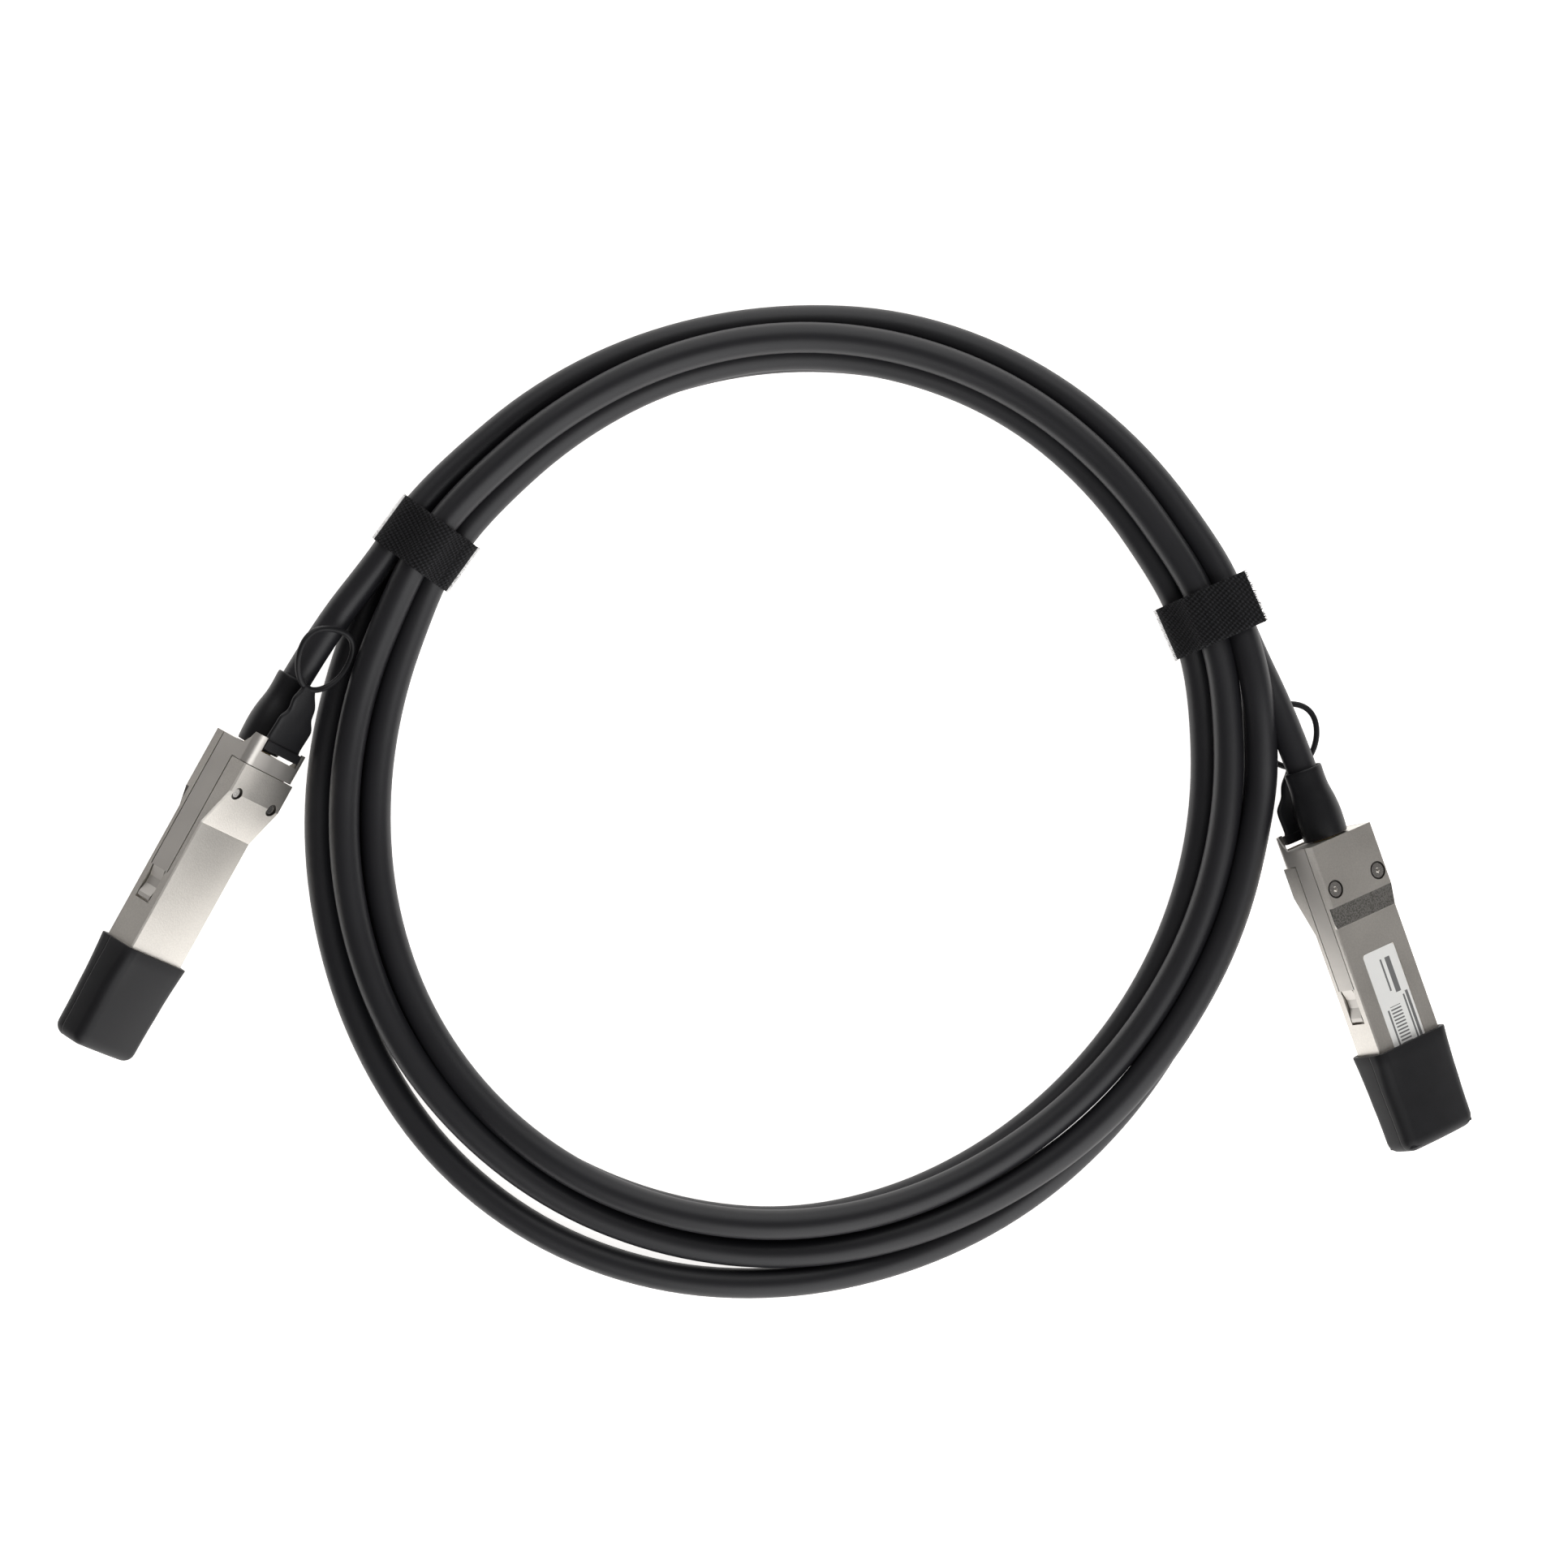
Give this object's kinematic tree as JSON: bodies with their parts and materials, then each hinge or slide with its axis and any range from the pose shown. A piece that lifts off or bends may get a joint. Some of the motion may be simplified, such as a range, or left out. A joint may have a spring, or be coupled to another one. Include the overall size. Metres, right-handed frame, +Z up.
{
  "type": "direct attach copper cable",
  "caption": "Coiled direct attach copper cable with a latching pull-tab plug and dust cap at each end, held by hook-and-loop ties.",
  "frame": {"origin": "on the bench under the middle of the plugs and ties", "axes": "+Z up from the bench, +X from the left plug towards the right plug, +Y towards the ties' side"},
  "size_m": [0.323, 0.2281, 0.0236],
  "materials": {
    "shell": "matte nickel-plated die-cast zinc",
    "slider": "stamped stainless strip",
    "tab": "satin black moulded elastomer",
    "spring": "bright spring wire",
    "screw": "bright plated",
    "card": "green solder mask with gold contacts",
    "chip": "black moulded package",
    "pair": "foil-wrapped twinaxial pairs",
    "ferrule": "crimped brass",
    "boot": "satin black shrunk sleeve",
    "label": "white film label with plain grey bars",
    "cap": "matte black soft cap",
    "jacket": "satin black extruded jacket",
    "tie": "black woven hook-and-loop tape"
  },
  "bodies": {
    "assembly": {"cable_coil": "jacket", "left_lead": "jacket", "right_lead": "jacket", "left_tie": "tie", "right_tie": "tie", "left_bottom_shell": "shell", "left_top_shell": "shell", "left_return_springs": "spring", "left_shell_screws": "screw", "left_paddle_card": "card", "left_memory_chip": "chip", "left_twinax_pairs": "pair", "left_crimp_ferrule": "ferrule", "left_boot": "boot", "left_label": "label", "right_bottom_shell": "shell", "right_top_shell": "shell", "right_return_springs": "spring", "right_shell_screws": "screw", "right_paddle_card": "card", "right_memory_chip": "chip", "right_twinax_pairs": "pair", "right_crimp_ferrule": "ferrule", "right_boot": "boot", "right_label": "label"},
    "left_latch": {"left_latch_slider": "slider", "left_pull_tab": "tab"},
    "left_cap": {"left_dust_cap": "cap"},
    "right_latch": {"right_latch_slider": "slider", "right_pull_tab": "tab"},
    "right_cap": {"right_dust_cap": "cap"}
  },
  "joints": [
    {"name": "left_latch_slide", "type": "slide", "parent": "assembly", "child": "left_latch", "axis": [0.4807, 0.8762, -0.0349], "range_m": [0, 0.0025], "stiffness_N_per_m": 1600, "springref_m": -0.001, "deforming": ["left_return_springs"]},
    {"name": "left_cap_slide", "type": "slide", "parent": "assembly", "child": "left_cap", "axis": [-0.4807, -0.8762, 0.0349], "range_m": [0, 0.03]},
    {"name": "right_latch_slide", "type": "slide", "parent": "assembly", "child": "right_latch", "axis": [-0.3383, 0.9396, 0.0523], "range_m": [0, 0.0025], "stiffness_N_per_m": 1600, "springref_m": -0.001, "deforming": ["right_return_springs"]},
    {"name": "right_cap_slide", "type": "slide", "parent": "assembly", "child": "right_cap", "axis": [0.3383, -0.9396, -0.0523], "range_m": [0, 0.03]}
  ]
}
